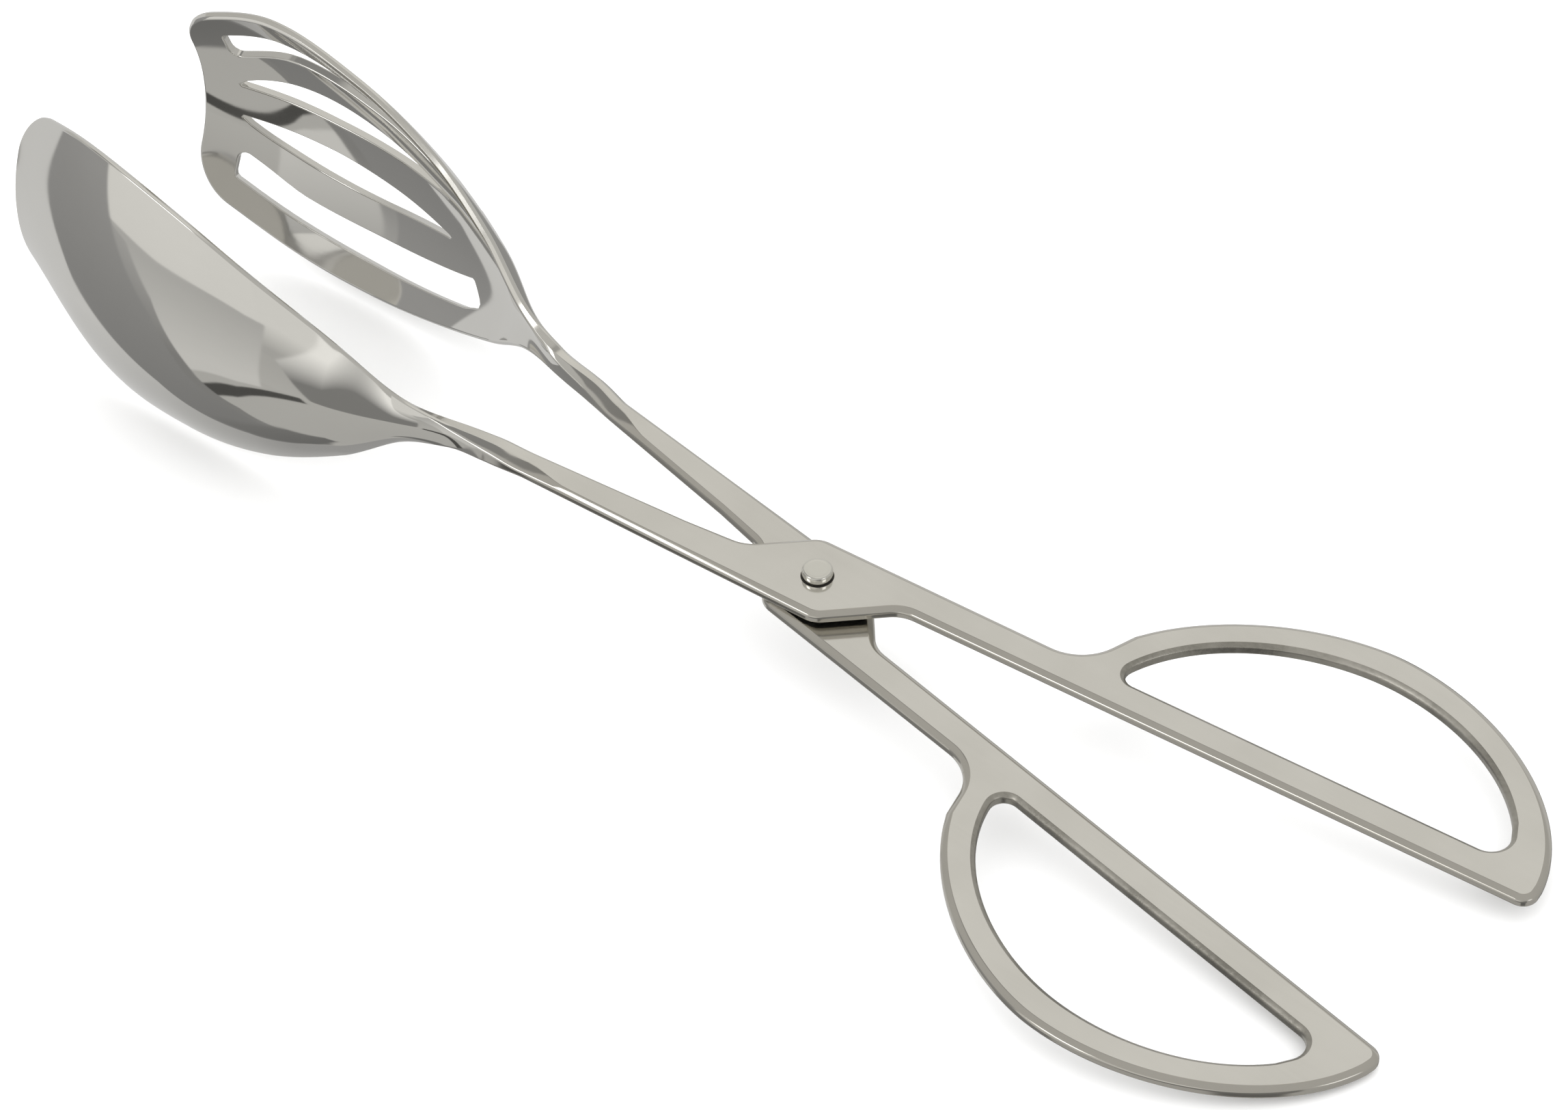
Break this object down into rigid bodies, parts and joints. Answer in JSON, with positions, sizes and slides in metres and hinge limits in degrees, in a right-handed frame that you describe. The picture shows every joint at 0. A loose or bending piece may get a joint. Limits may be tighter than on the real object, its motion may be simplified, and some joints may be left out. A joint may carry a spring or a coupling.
{
  "type": "serving tongs",
  "caption": "Scissor-action metal serving tongs with D-shaped finger loops, a plain spoon jaw and a slotted spoon jaw, crossing at a rivet.",
  "frame": {"origin": "centre of the bounding box of the whole tongs at rest", "axes": "+X from the jaws to the finger loops, +Y towards the spoon arm's finger loop, +Z along the pivot axis towards the rivet head"},
  "size_m": [0.3017, 0.0992, 0.055],
  "materials": {
    "arm_steel": "stainless steel, polished jaws and satin flat arms",
    "rivet_steel": "turned stainless steel, lightly polished"
  },
  "bodies": {
    "slotted_half": {"slotted_arm": "arm_steel", "pivot_rivet": "rivet_steel"},
    "spoon_half": {"spoon_arm": "arm_steel"}
  },
  "joints": [
    {"name": "pivot", "type": "hinge", "parent": "slotted_half", "child": "spoon_half", "pos_m": [0.0185, 0, 0.00215], "axis": [0, 0, 1], "range_deg": [-10.4, 40]}
  ]
}
